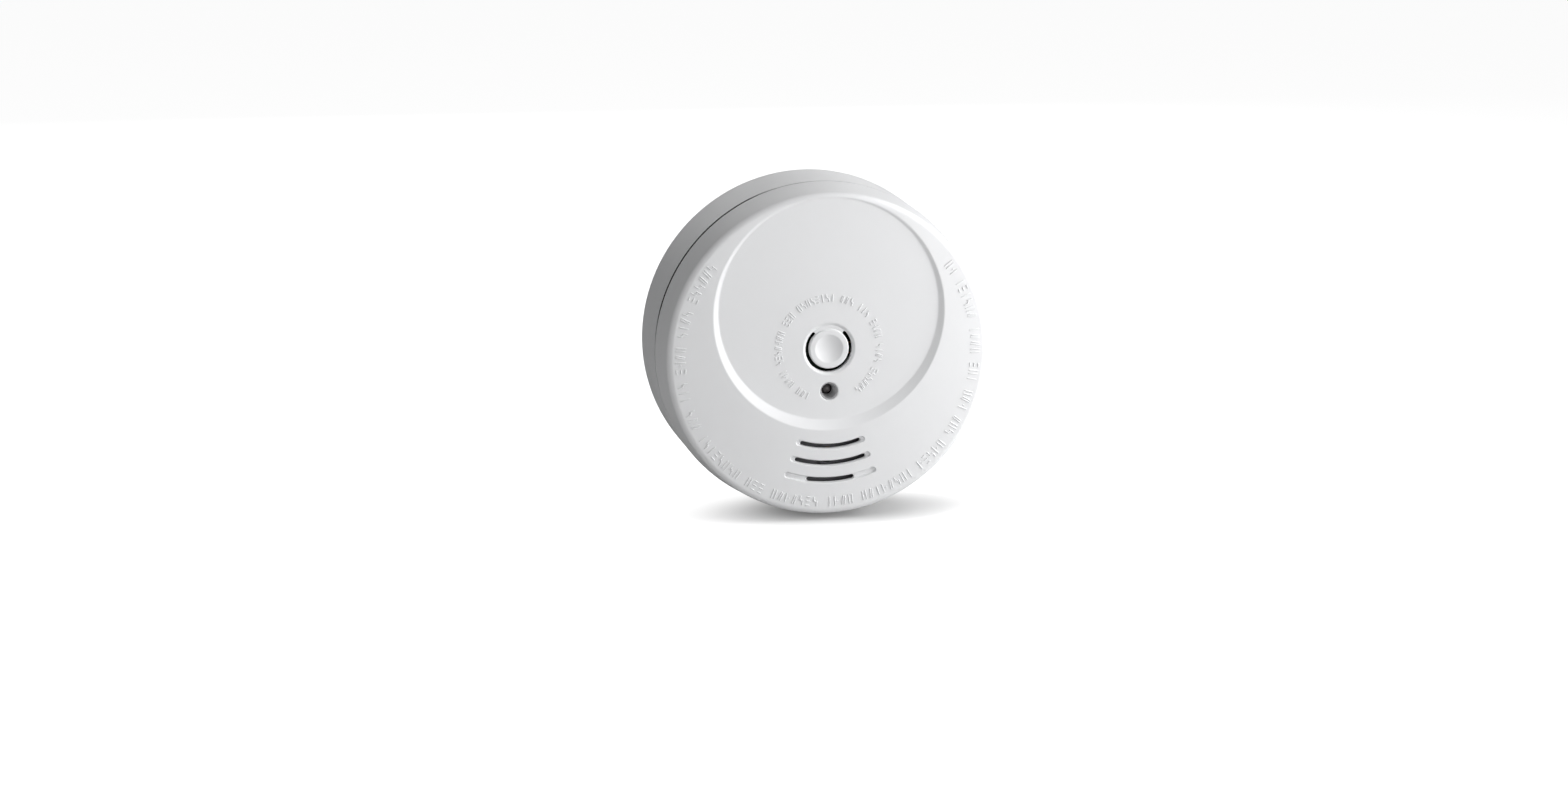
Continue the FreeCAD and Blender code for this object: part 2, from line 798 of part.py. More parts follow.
def chamber_cap():
    inner = chamber_radius + 0.1
    seat = chamber_high + 0.1
    skirt_low = chamber_high - cap_skirt
    cap = turned([(0, seat), (inner, seat), (inner, skirt_low), (cap_outer, skirt_low),
                  (cap_outer, cap_high - 0.5), (cap_outer - 0.5, cap_high), (0, cap_high)], 0, chamber_y)
    ridges = [tube(radius + 0.4, radius - 0.4, cap_high - 0.1, cap_high + 0.25, 0, chamber_y)
              for radius in cap_ridges]
    return cap.multiFuse(ridges)


def insect_screen():
    low = board_high + 0.2
    high = chamber_high - cap_skirt - 0.1
    screen = tube(screen_outer, screen_inner, low, high, 0, chamber_y)
    windows = []
    for index in range(screen_windows):
        window = block(screen_window, 1.9, low + screen_border, high - screen_border, screen_outer, 0)
        windows.append(about_chamber(window, index * 360.0 / screen_windows))
    return screen.cut(group(windows))


# Horn

def horn_cup():
    low = board_high + stand_off
    cup = turned([(0, low), (horn_radius, low), (horn_radius, horn_high), (horn_seat, horn_high),
                  (horn_seat, disc_level), (horn_bore, disc_level), (horn_bore, low + horn_floor),
                  (0, low + horn_floor)], 0, horn_y)
    for x, y in horn_pin_places:
        cup = cup.cut(rod(0.8, low - over_cut, low + horn_floor + over_cut, x, horn_y + y))
    return cup


def piezo_disc():
    return rod(disc_radius, disc_level + 0.02, disc_level + disc_thick, 0, horn_y)


def piezo_ceramic():
    return rod(ceramic_disc_radius, disc_level - 0.2, disc_level, 0, horn_y)


def horn_pin(x, y):
    pin = rod(horn_pin_radius, lead_low, disc_level - 0.25, x, y)
    return pin.fuse(rod(horn_pin_radius + 0.25, board_high + 1.6, board_high + 2.2, x, y))


def horn_pins():
    return group([horn_pin(x, horn_y + y) for x, y in horn_pin_places])


def horn_cap():
    """Cap that clamps the disc at its edge and sounds through a short tube in its middle."""
    low = horn_high + 0.05
    high = horn_high + horn_cap_thick
    clamp = disc_level + disc_thick + 0.05
    clamp_outer = horn_seat - 0.15
    clamp_inner = horn_bore - 0.6
    tube_wall = 0.7
    return turned([(horn_mouth, low), (clamp_inner, low), (clamp_inner, clamp), (clamp_outer, clamp),
                   (clamp_outer, low), (horn_radius, low), (horn_radius, high - 0.4),
                   (horn_radius - 0.4, high), (horn_mouth + 2 * tube_wall, high),
                   (horn_mouth + tube_wall, high + 0.5), (horn_mouth, high + 0.5)], 0, horn_y)


# Battery and its contacts

def battery_case():
    case = rounded_block(battery_length, battery_width, battery_low, battery_low + battery_thick,
                         battery_corner, battery_left + battery_length / 2, 0)
    ends = [e for e in case.Edges if e.BoundBox.ZLength < 0.01 and e.Length > 10]
    return case.makeFillet(battery_edge, ends)


def battery_snaps():
    along = vec(1, 0, 0)
    stud = bar(stud_radius, snap_height, vec(battery_right, snap_offset, battery_level), along)
    socket = bar(socket_radius, snap_height, vec(battery_right, -snap_offset, battery_level), along)
    hollow = bar(socket_bore, snap_height, vec(battery_right + 0.5, -snap_offset, battery_level), along)
    return group([stud, socket.cut(hollow)])


def battery_contact(side):
    """Leaf spring from the board down the bay's end wall, bowed towards the battery's snap."""
    tip = battery_right + snap_height + contact_thick
    root = contact_x + 0.1
    path = [(root, board_low + 1.2), (root, battery_level + 7.0), (tip + 0.2, battery_level + 2.0),
            (tip, battery_level), (tip + 0.2, battery_level - 2.0), (root + 0.5, battery_level - 4.6)]
    return strip(path, contact_thick, contact_width, side * snap_offset)


def positive_contact():
    return battery_contact(1)


def negative_contact():
    return battery_contact(-1)


os.makedirs("parts", exist_ok=True)

sub_parts = (mounting_plate, rear_housing, front_cover, lamp_funnel, test_button, switch_body, switch_plunger,
             circuit_board, board_screws, control_chip, electrolytic_capacitors, horn_choke, resistors,
             ceramic_capacitors, transistors, reverse_diode, indicator_led, led_spacer, chamber_base,
             infrared_emitter, photodiode, chamber_cap, insect_screen, horn_cup, piezo_disc, piezo_ceramic,
             horn_pins, horn_cap, battery_case, battery_snaps, positive_contact, negative_contact)
for make in sub_parts:
    save(make.__name__, make())
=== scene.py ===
import math
import random

import bmesh
import bpy
import numpy as np
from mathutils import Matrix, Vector
from mathutils.geometry import delaunay_2d_cdt


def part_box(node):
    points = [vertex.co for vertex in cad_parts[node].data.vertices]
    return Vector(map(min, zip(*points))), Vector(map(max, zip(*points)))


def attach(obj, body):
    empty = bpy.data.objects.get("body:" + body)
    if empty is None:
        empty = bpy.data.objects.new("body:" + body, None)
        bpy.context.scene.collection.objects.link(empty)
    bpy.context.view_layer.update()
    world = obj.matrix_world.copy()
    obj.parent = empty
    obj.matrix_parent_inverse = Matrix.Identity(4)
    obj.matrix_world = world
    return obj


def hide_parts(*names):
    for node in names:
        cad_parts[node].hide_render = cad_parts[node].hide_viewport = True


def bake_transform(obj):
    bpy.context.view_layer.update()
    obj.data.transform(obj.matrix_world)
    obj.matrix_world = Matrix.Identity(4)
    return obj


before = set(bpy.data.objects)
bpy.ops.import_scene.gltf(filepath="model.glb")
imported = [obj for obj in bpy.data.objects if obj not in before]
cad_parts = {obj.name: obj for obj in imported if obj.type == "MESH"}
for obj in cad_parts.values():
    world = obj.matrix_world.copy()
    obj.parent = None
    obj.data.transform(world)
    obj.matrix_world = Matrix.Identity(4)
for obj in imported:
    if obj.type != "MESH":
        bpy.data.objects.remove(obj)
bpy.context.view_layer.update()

# The looks of a battery smoke alarm.  Shapes are worked out in millimetres, lying on the back:
# x is right, y is up and level is the distance out from the wall.  make_piece() stands them up
# in the frame, where -Y points into the room.
MM = 0.001
# colour of the painted shade in the slit between cover and housing
PAINTED_SLIT_SHADE = (0.012, 0.012, 0.014)
MARK_SEED = 11
MARK_STROKE = 0.36
MARK_PROUD = 0.18

cover_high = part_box("front_cover")[1]
button_low, button_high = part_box("test_button")
housing_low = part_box("rear_housing")[0]
screen_low, screen_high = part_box("insect_screen")

# Cover
seam_radius = cover_high.x / MM
seam_level = -housing_low.y / MM
wall = 2.0
edge_level = 35.2
edge_radius = 47.95
edge_rounding = 2.0
dome_top = edge_level + 1.82   # at the middle
dome_curve = 673.0
inner_level = edge_level - wall
inner_rounding = 0.8
crease_softness = 0.14
rim_steps = 720
recess_steps = 480
well_steps = 144
lamp_steps = 72
pocket_steps = 120
hook_angles = (45, 135, 225, 315)
hook_half = 4.5

# Recess, test button and indicator hole
recess_y = 13.6
recess_foot = 32.9
recess_run = 2.0
button_radius = button_high.x / MM
button_y = button_low.z / MM + button_radius
button_level = -button_low.y / MM
button_thick = 1.5
well_radius = 7.0
countersink_radius = 7.75
countersink_depth = 0.5
well_border = 8.3
dish_radius = 4.2
dish_depth = 0.95
film_thick = 0.5
gap_end_angle = 45.5
lamp_y = -10.8
lamp_border = 3.1
lamp_mouth = 2.66
lamp_bore = 1.85
lamp_throat_level = 32.0
collar_radius = 3.05
collar_level = 31.2

# Sound slots: a shallow groove each, cut right through along its middle
slot_middle = -89.5
slot_radii = (27.2, 32.35, 37.5)
slot_cut_halves = (18.0, 18.0, 10.0)
slot_cut_half_width = 0.65
groove_half = 20.2
groove_lip = 0.95
groove_foot = 0.7
groove_depth = 0.7
pocket_y = -33.1
pocket_radius = 12.2
pocket_level = 34.7


def soft_min(first, second, softness):
    near = np.maximum(softness - np.abs(first - second), 0.0) / softness
    return np.minimum(first, second) - near * near * softness / 4


def soft_max(first, second, softness):
    return -soft_min(-first, -second, softness)


def around(count, turn=360.0, start=0.0):
    """Angles in radians, evenly spaced round a circle."""
    return np.radians(start + np.arange(count) * turn / count)


# The cover's outline: a straight side, a rounding and a shallow dome, each tangent to the next
side_run = np.array([edge_radius - seam_radius, edge_level - seam_level])
side_run = side_run / np.linalg.norm(side_run)
side_normal = np.array([side_run[1], -side_run[0]])
dome_centre = np.array([0.0, dome_top - dome_curve])
side_foot = np.array([seam_radius, seam_level])
offset_foot = side_foot - side_normal * edge_rounding - dome_centre
reach = offset_foot @ side_run
rounding_reach = dome_curve - edge_rounding
rounding_run = -reach + math.sqrt(reach ** 2 - offset_foot @ offset_foot + rounding_reach ** 2)
rounding_centre = dome_centre + offset_foot + side_run * rounding_run
dome_normal = (rounding_centre - dome_centre) / np.linalg.norm(rounding_centre - dome_centre)
side_angle = math.atan2(side_normal[1], side_normal[0])
dome_start = (rounding_centre + dome_normal * edge_rounding)[0]


def outline_level(radius):
    """Level of the cover's outside before its face features, at a radius from the axis."""
    dome = np.sqrt(dome_curve ** 2 - radius ** 2) + dome_centre[1]
    over = np.clip(radius - rounding_centre[0], 0.0, edge_rounding)
    rounding = rounding_centre[1] + np.sqrt(edge_rounding ** 2 - over ** 2)
    return np.where(radius < dome_start, dome, rounding)


def slot_distance(x, y, slot_radius, half):
    """Distance from the curved centre line of a slot."""
    angle = np.clip(np.degrees(np.arctan2(y, x)), slot_middle - half, slot_middle + half)
    end_x = slot_radius * np.cos(np.radians(angle))
    end_y = slot_radius * np.sin(np.radians(angle))
    return np.hypot(x - end_x, y - end_y)


def face_level(x, y):
    """Level of the cover's face: dome, dished recess and the slots' grooves."""
    slope = edge_level + (np.hypot(x, y - recess_y) - recess_foot) / recess_run
    recess = soft_max(edge_level, slope, crease_softness)
    level = soft_min(outline_level(np.hypot(x, y)), recess, crease_softness)
    for slot_radius in slot_radii:
        off = slot_distance(x, y, slot_radius, groove_half)
        depth = (groove_lip - off) / (groove_lip - groove_foot) * groove_depth
        depth = soft_min(groove_depth, soft_max(0.0, depth, crease_softness), crease_softness)
        level = level - depth
    return level


class Shell:
    """Corners and faces of one closed piece."""

    def __init__(self):
        self.points = []
        self.faces = []

    def ring(self, x, y, level):
        x, y, level = np.broadcast_arrays(x, y, level)
        first = len(self.points)
        self.points += list(zip(x.tolist(), y.tolist(), level.tolist()))
        return list(range(first, len(self.points)))

    def bridge(self, first, second):
        """Faces between two closed rings of the same count."""
        for index in range(len(first)):
            after = (index + 1) % len(first)
            self.faces.append((first[index], first[after], second[after], second[index]))

    def turned(self, profile, angles, middle_y=0.0, start=None):
        """Rings for each (radius, level) of a profile, bridged in turn; returns the last ring."""
        previous = start
        for radius, level in profile:
            ring = self.ring(radius * np.cos(angles), middle_y + radius * np.sin(angles), level)
            if previous is not None:
                self.bridge(previous, ring)
            previous = ring
        return previous

    def cap(self, ring):
        self.faces.append(tuple(ring))

    def fill(self, loops, extra, inside):
        """Triangles between closed loops of corners and through the extra corners."""
        numbers = [number for loop in loops for number in loop] + list(extra)
        places = [Vector(self.points[number][:2]) for number in numbers]
        edges = []
        first = 0
        for loop in loops:
            edges += [(first + index, first + (index + 1) % len(loop)) for index in range(len(loop))]
            first += len(loop)
        found = delaunay_2d_cdt(places, edges, [], 0, 1e-5)
        corners = np.array([vertex[:] for vertex in found[0]])
        triangles = np.array(found[2])
        middles = corners[triangles].mean(axis=1)
        keep = inside(middles[:, 0], middles[:, 1])
        origins = [numbers[origin[0]] for origin in found[3]]
        for triangle in triangles[keep].tolist():
            self.faces.append(tuple(origins[corner] for corner in triangle))

    def prism(self, outline_points, place):
        """Closed piece from one outline repeated at several places along a path."""
        rings = []
        for step in place:
            corners = [step(u, v) for u, v in outline_points]
            x, y, level = np.array(corners).T
            rings.append(self.ring(x, y, level))
        for first, second in zip(rings, rings[1:]):
            self.bridge(first, second)
        self.cap(rings[0][::-1])
        self.cap(rings[-1])


def make_piece(name, shell, material, sharp=38.0):
    """Stand a shell up in the frame as a smooth-shaded object."""
    mesh = bpy.data.meshes.new(name)
    corners = [(x * MM, -level * MM, y * MM) for x, y, level in shell.points]
    mesh.from_pydata(corners, [], shell.faces)
    mesh.validate()
    tidy_normals(mesh)
    mesh.polygons.foreach_set("use_smooth", [True] * len(mesh.polygons))
    mesh.set_sharp_from_angle(angle=math.radians(sharp))
    mesh.materials.append(material)
    piece = bpy.data.objects.new(name, mesh)
    bpy.context.scene.collection.objects.link(piece)
    return piece


def tidy_normals(mesh):
    """Turn every face outward and drop unused corners."""
    work = bmesh.new()
    work.from_mesh(mesh)
    loose = [vertex for vertex in work.verts if not vertex.link_faces]
    bmesh.ops.delete(work, geom=loose, context="VERTS")
    bmesh.ops.recalc_face_normals(work, faces=work.faces)
    work.to_mesh(mesh)
    work.free()


def slot_loop(slot_radius, half, offset, side_count=56, end_count=14):
    """Closed outline at an offset from a slot's curved centre line."""
    sweep = np.radians(np.linspace(slot_middle - half, slot_middle + half, side_count))
    turn = np.radians(np.linspace(0.0, 180.0, end_count + 2)[1:-1])
    first, last = sweep[0], sweep[-1]
    outer = (slot_radius + offset) * np.exp(1j * sweep)
    far_end = slot_radius * np.exp(1j * last) + offset * np.exp(1j * (last + turn))
    inner = (slot_radius - offset) * np.exp(1j * sweep[::-1])
    near_end = slot_radius * np.exp(1j * first) - offset * np.exp(1j * (first + turn))
    path = np.concatenate([outer, far_end, inner, near_end])
    return path.real, path.imag


def recess_lip(angles):
    """Distance from the recess's centre at which its slope meets the dome, for each direction."""
    low = np.full_like(angles, recess_foot)
    high = np.full_like(angles, recess_foot + 4.0)
    for _ in range(30):
        middle = (low + high) / 2
        radius = np.hypot(middle * np.cos(angles), recess_y + middle * np.sin(angles))
        dome = outline_level(np.minimum(radius, edge_radius))
        above = edge_level + (middle - recess_foot) / recess_run > dome
        low = np.where(above, low, middle)
        high = np.where(above, middle, high)
    return (low + high) / 2


# Where the face's mesh is dense, as distances from the creases it follows
face_border = 47.3
rim_rows = (47.15, 46.95, 46.7, 46.45, 46.2, 45.95, 45.7, 45.3)
foot_offsets = (-0.5, -0.32, -0.2, -0.1, 0.0, 0.1, 0.2, 0.32, 0.5, 0.7, 0.9)
lip_offsets = (-0.5, -0.32, -0.2, -0.1, 0.0, 0.1, 0.2, 0.32, 0.5)
slot_offsets = (1.5, 1.25, 1.1, 1.02, 0.95, 0.88, 0.815, 0.75, 0.7)
grid_spacing = 1.4
grid_lines = 34


def face_grid():
    """Plan positions of the face's free points: dense along creases, open on plain surfaces."""
    found = []
    around_rim = around(rim_steps)
    for radius in rim_rows:
        found.append(np.stack([radius * np.cos(around_rim), radius * np.sin(around_rim)]))
    around_recess = around(recess_steps)
    lip = recess_lip(around_recess)
    rows = [np.full_like(around_recess, recess_foot + offset) for offset in foot_offsets]
    for offset in lip_offsets:
        row = lip + offset
        rows.append(np.where(row > recess_foot + foot_offsets[-1] + 0.05, row, 0.0))
    for row in rows:
        x, y = row * np.cos(around_recess), recess_y + row * np.sin(around_recess)
        near_rim = np.hypot(x, y) < rim_rows[-1] - 0.1
        crossing = (np.hypot(x, y) < face_border - 0.08) & (row < recess_foot + 0.6)
        keep = (row > 0) & (near_rim | crossing)
        found.append(np.stack([x[keep], y[keep]]))
    for slot_radius in slot_radii:
        for offset in slot_offsets:
            found.append(np.stack(slot_loop(slot_radius, groove_half, offset)))
    lines = np.arange(-grid_lines, grid_lines + 1) * grid_spacing
    x, y = np.meshgrid(lines, lines)
    x = x + np.where(np.arange(len(lines)) % 2, grid_spacing / 2, 0.0)[:, None]
    x, y = x.ravel(), y.ravel()
    distance = np.hypot(x, y - recess_y)
    own_lip = recess_lip(np.arctan2(y - recess_y, x))
    keep = np.hypot(x, y) < rim_rows[-1] - 0.8
    keep &= np.abs(distance - recess_foot) > 1.0
    keep &= np.abs(distance - own_lip) > 0.9
    keep &= np.hypot(x, y - button_y) > well_border + 0.5
    keep &= np.hypot(x, y - lamp_y) > lamp_border + 0.4
    for slot_radius in slot_radii:
        keep &= slot_distance(x, y, slot_radius, groove_half) > slot_offsets[0] + 0.4
    found.append(np.stack([x[keep], y[keep]]))
    for slot_radius, cut_half in zip(slot_radii, slot_cut_halves):
        for part in (0.0, 0.3, 0.5):
            x, y = slot_loop(slot_radius, groove_half, part, 90, 4)
            clear = slot_distance(x, y, slot_radius, cut_half) > slot_cut_half_width + 0.12
            found.append(np.stack([x[clear], y[clear]]))
    return np.concatenate(found, axis=1)


def countersink_profile():
    """The well's softened conical mouth, as (radius, level), from the border down to its wall."""
    radii = np.linspace(well_border - 0.06, well_radius + 0.06, 20)
    slope = countersink_depth / (countersink_radius - well_radius)
    cone = edge_level - (countersink_radius - radii) * slope
    levels = soft_min(edge_level, cone, crease_softness)
    foot = edge_level - countersink_depth
    corner = [(well_radius + 0.01, foot - 0.02), (well_radius, foot - 0.08)]
    return list(zip(radii.tolist(), levels.tolist())) + corner


def lamp_profile():
    """The indicator hole's rounded mouth and tapered throat, as (radius, level)."""
    bend, full_turn = 0.3, math.radians(78)
    profile = []
    for share in np.linspace(0.1, 1.0, 9):
        angle = share * full_turn
        radius = lamp_mouth + bend * (1 - math.sin(angle))
        profile.append((radius, edge_level - bend * (1 - math.cos(angle))))
    start_radius, start_level = profile[-1]
    for share in np.linspace(0.15, 1.0, 8):
        radius = start_radius + (lamp_bore - start_radius) * share
        profile.append((radius, start_level + (lamp_throat_level - start_level) * share))
    return profile


def front_cover(material):
    shell = Shell()
    outer = around(rim_steps)
    border = shell.ring(face_border * np.cos(outer), face_border * np.sin(outer),
                        face_level(face_border * np.cos(outer), face_border * np.sin(outer)))
    well_angles = around(well_steps)
    well = shell.turned([(well_border, edge_level)], well_angles, button_y)
    lamp_angles = around(lamp_steps)
    lamp = shell.turned([(lamp_border, edge_level)], lamp_angles, lamp_y)
    cuts = []
    for slot_radius, half in zip(slot_radii, slot_cut_halves):
        x, y = slot_loop(slot_radius, half, slot_cut_half_width)
        cuts.append(shell.ring(x, y, face_level(x, y)))
    x, y = face_grid()
    free = shell.ring(x, y, face_level(x, y))

    def in_slot(x, y):
        covered = np.zeros(len(x), bool)
        for slot_radius, half in zip(slot_radii, slot_cut_halves):
            covered |= slot_distance(x, y, slot_radius, half) < slot_cut_half_width - 0.01
        return covered

    def on_face(x, y):
        open_hole = np.hypot(x, y - button_y) < well_border - 0.02
        open_hole |= np.hypot(x, y - lamp_y) < lamp_border - 0.02
        return ~(open_hole | in_slot(x, y)) & (np.hypot(x, y) < face_border)

    shell.fill([border, well, lamp] + cuts, free, on_face)

    # Rounded edge, side wall, rim and the inside of the shell
    start_angle = math.acos((face_border - rounding_centre[0]) / edge_rounding)
    profile = []
    for angle in np.linspace(start_angle, side_angle, 14)[1:]:
        profile.append((rounding_centre[0] + edge_rounding * math.cos(angle),
                        rounding_centre[1] + edge_rounding * math.sin(angle)))
    side_top = np.array(profile[-1])
    for share in np.linspace(0.0, 1.0, 12)[1:-1]:
        profile.append(tuple(side_top + (side_foot - side_top) * share))
    taper = side_run[0] / side_run[1]
    profile += [(seam_radius + 0.2 * taper, seam_level + 0.2), (seam_radius - 0.03, seam_level + 0.06),
                (seam_radius - 0.12, seam_level), (seam_radius - wall, seam_level)]
    inner_top = seam_radius - wall + (inner_level - inner_rounding - seam_level) * taper
    profile += [(seam_radius - wall + 4.0 * taper, seam_level + 4.0),
                (inner_top, inner_level - inner_rounding),
                (inner_top - 0.3, inner_level - 0.2), (inner_top - inner_rounding, inner_level)]
    inner_border = shell.turned(profile, outer, start=border)

    # Walls of the holes
    wall_foot = shell.turned(countersink_profile(), well_angles, button_y, well)
    inner_well = shell.turned([(well_radius, inner_level)], well_angles, button_y, wall_foot)
    throat = shell.turned(lamp_profile(), lamp_angles, lamp_y, lamp)
    inner_lamp = shell.turned([(lamp_bore, collar_level), (collar_radius - 0.15, collar_level),
                               (collar_radius, collar_level + 0.15), (collar_radius, inner_level)],
                              lamp_angles, lamp_y, throat)
    inner_cuts = []
    for slot_radius, half, cut in zip(slot_radii, slot_cut_halves, cuts):
        x, y = slot_loop(slot_radius, half, slot_cut_half_width)
        lower = shell.ring(x, y, pocket_level)
        shell.bridge(cut, lower)
        inner_cuts.append(lower)
    pocket_angles = around(pocket_steps)
    pocket_edge = shell.turned([(pocket_radius, inner_level)], pocket_angles, pocket_y)
    pocket_top = shell.turned([(pocket_radius, pocket_level)], pocket_angles, pocket_y, pocket_edge)

    def in_pocket(x, y):
        return np.hypot(x, y - pocket_y) < pocket_radius

    shell.fill([pocket_top] + inner_cuts, [], lambda x, y: in_pocket(x, y) & ~in_slot(x, y))

    def on_inside(x, y):
        open_hole = np.hypot(x, y - button_y) < well_radius - 0.01
        open_hole |= np.hypot(x, y - lamp_y) < collar_radius - 0.01
        return ~(open_hole | in_pocket(x, y)) & (np.hypot(x, y) < seam_radius)

    shell.fill([inner_border, inner_well, inner_lamp, pocket_edge], [], on_inside)
    for middle in hook_angles:
        snap_hook(shell, middle)
    return make_piece("cover_shell", shell, material)


def snap_hook(shell, middle):
    """Tongue with a barbed tip that clips into the housing."""
    outline_points = [(45.8, inner_level + 0.3), (45.8, 17.4), (46.2, 17.0), (47.7, 17.0), (48.0, 17.4),
                      (48.0, 18.2), (47.8, 18.5), (47.2, 18.6), (47.2, inner_level - 1.2)]
    steps = np.radians(np.linspace(middle - hook_half, middle + hook_half, 9))

    def at(angle):
        return lambda radius, level: (radius * math.cos(angle), radius * math.sin(angle), level)

    shell.prism(outline_points, [at(angle) for angle in steps])


def test_button(material):
    """Round key with a rolled rim, a shallow finger dish, ribs under it and a stem to the switch."""
    shell = Shell()
    angles = around(well_steps)
    roll = 0.45
    under = button_level - button_thick
    profile = []
    for radius in np.concatenate([np.linspace(0.3, 3.6, 12), np.linspace(3.75, 4.65, 10), [5.0, 5.3]]):
        dish = button_level - dish_depth * (1 - (radius / dish_radius) ** 2)
        profile.append((radius, float(soft_min(button_level, dish, 0.1))))
    for angle in np.radians(np.linspace(90, 0, 9)):
        profile.append((button_radius - roll + roll * math.cos(angle),
                        button_level - roll + roll * math.sin(angle)))
    profile += [(button_radius, under + 0.15), (button_radius - 0.15, under)]
    profile += [(1.9, under), (1.5, under - 0.2), (1.4, under - 0.5)]
    tip_radius = 1.4
    tip_centre = -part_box("test_button")[1].y / MM + tip_radius
    for angle in np.radians(np.linspace(0, 80, 8)):
        profile.append((tip_radius * math.cos(angle), tip_centre - tip_radius * math.sin(angle)))
    middle = shell.turned(profile[:1], angles, button_y)
    shell.cap(middle[::-1])
    last = shell.turned(profile[1:], angles, button_y, middle)
    shell.cap(last)
    for turn in (0.0, 90.0):
        under_rib(shell, turn, under)
    return make_piece("button_key", shell, material)


def under_rib(shell, turn, under):
    """Stiffening rib across the underside of the key."""
    half_thick, height = 0.45, 1.2
    outline_points = [(-half_thick, 0.2), (half_thick, 0.2),
                      (half_thick, -height + 0.12), (half_thick - 0.12, -height),
                      (-half_thick + 0.12, -height), (-half_thick, -height + 0.12)]
    cos, sin = math.cos(math.radians(turn)), math.sin(math.radians(turn))

    def at(along):
        return lambda across, level: (along * cos - across * sin,
                                      button_y + along * sin + across * cos,
                                      under + level)

    shell.prism(outline_points, [at(along) for along in (-3.5, -1.7, 1.7, 3.5)])


def hinge_film(material):
    """Thin web that joins the key to the cover at the open top of its gap, with hollow round ends."""
    shell = Shell()
    gap_middle = (button_radius + well_radius) / 2
    gap_half = (well_radius - button_radius) / 2
    radii = np.linspace(button_radius, well_radius, 13)
    radii = np.concatenate([[button_radius - 0.2], radii, [well_radius + 0.2]])
    shares = np.linspace(-1, 1, 61)
    hollow = np.sqrt(np.maximum(gap_half ** 2 - (radii - gap_middle) ** 2, 0.0))
    reach = math.radians(gap_end_angle) - hollow / gap_middle
    top = edge_level - countersink_depth
    sheets = []
    for level in (top, top - film_thick):
        angle = math.pi / 2 + reach[:, None] * shares[None, :]
        x, y = radii[:, None] * np.cos(angle), button_y + radii[:, None] * np.sin(angle)
        sheets.append(np.array(shell.ring(x.ravel(), y.ravel(), level)).reshape(x.shape))
    upper, lower = sheets
    for sheet, order in ((upper, 1), (lower, -1)):
        for row in range(len(radii) - 1):
            for step in range(len(shares) - 1):
                corners = (sheet[row, step], sheet[row, step + 1],
                           sheet[row + 1, step + 1], sheet[row + 1, step])
                shell.faces.append(tuple(int(corner) for corner in corners[::order]))
    edge = [(0, step) for step in range(len(shares))]
    edge += [(row, len(shares) - 1) for row in range(1, len(radii))]
    edge += [(len(radii) - 1, step) for step in range(len(shares) - 2, -1, -1)]
    edge += [(row, 0) for row in range(len(radii) - 2, 0, -1)]
    shell.bridge([int(upper[place]) for place in edge], [int(lower[place]) for place in edge])
    return make_piece("button_hinge", shell, material)


def raised_bar(shell, start, end, width, proud):
    """Small rounded bar standing proud of the face, from one plan point to another."""
    run = end - start
    heading = math.atan2(run[1], run[0])
    turns = np.radians(np.linspace(-90, 90, 6))
    previous = None
    for inset, height in ((0.0, -0.06), (0.02, proud * 0.6), (0.06, proud * 0.9), (0.11, proud)):
        half = width / 2 - inset
        nose = end[0] + half * np.cos(heading + turns), end[1] + half * np.sin(heading + turns)
        tail = start[0] - half * np.cos(heading + turns), start[1] - half * np.sin(heading + turns)
        x, y = np.concatenate([nose[0], tail[0]]), np.concatenate([nose[1], tail[1]])
        ring = shell.ring(x, y, face_level(x, y) + height)
        if previous:
            shell.bridge(previous, ring)
        else:
            shell.cap(ring[::-1])
        previous = ring
    shell.cap(previous)


# Plain marks, each a few strokes ((across, up), (across, up)) in a cell one unit wide and high
MARKS = (
    (((-0.3, -0.5), (-0.3, 0.5)), ((0.3, -0.5), (0.3, 0.5))),
    (((-0.3, -0.5), (0.3, -0.5)), ((-0.3, 0.0), (0.3, 0.0)), ((-0.3, 0.5), (0.3, 0.5))),
    (((-0.3, -0.5), (-0.3, 0.5)), ((0.2, 0.0), (0.25, 0.0))),
    (((-0.3, 0.5), (0.0, -0.5)), ((0.1, 0.5), (0.35, -0.4))),
    (((-0.3, -0.5), (-0.3, 0.0)), ((0.3, 0.0), (0.3, 0.5)), ((-0.1, -0.1), (0.1, 0.1))),
    (((0.0, -0.5), (0.0, 0.5)),),
)


def raised_marks(name, material, middle_y, radius, height, width, first, last, pitch):
    """Ring of small raised strokes in uneven groups, a plain stand-in for moulded lettering."""
    shell = Shell()
    dice = random.Random(MARK_SEED)
    step = math.degrees(pitch / radius)
    angle = first
    left_in_group = dice.randint(3, 8)
    while angle < last:
        turn = math.radians(angle)
        out = np.array([math.cos(turn), math.sin(turn)])
        along = np.array([-math.sin(turn), math.cos(turn)])
        middle = np.array([0.0, middle_y]) + out * radius
        for stroke in dice.choice(MARKS):
            start, end = [middle + along * across * width + out * up * height for across, up in stroke]
            raised_bar(shell, start, end, MARK_STROKE, MARK_PROUD)
        left_in_group -= 1
        angle += step
        if left_in_group == 0:
            angle += step
            left_in_group = dice.randint(3, 8)
    return make_piece(name, shell, material)


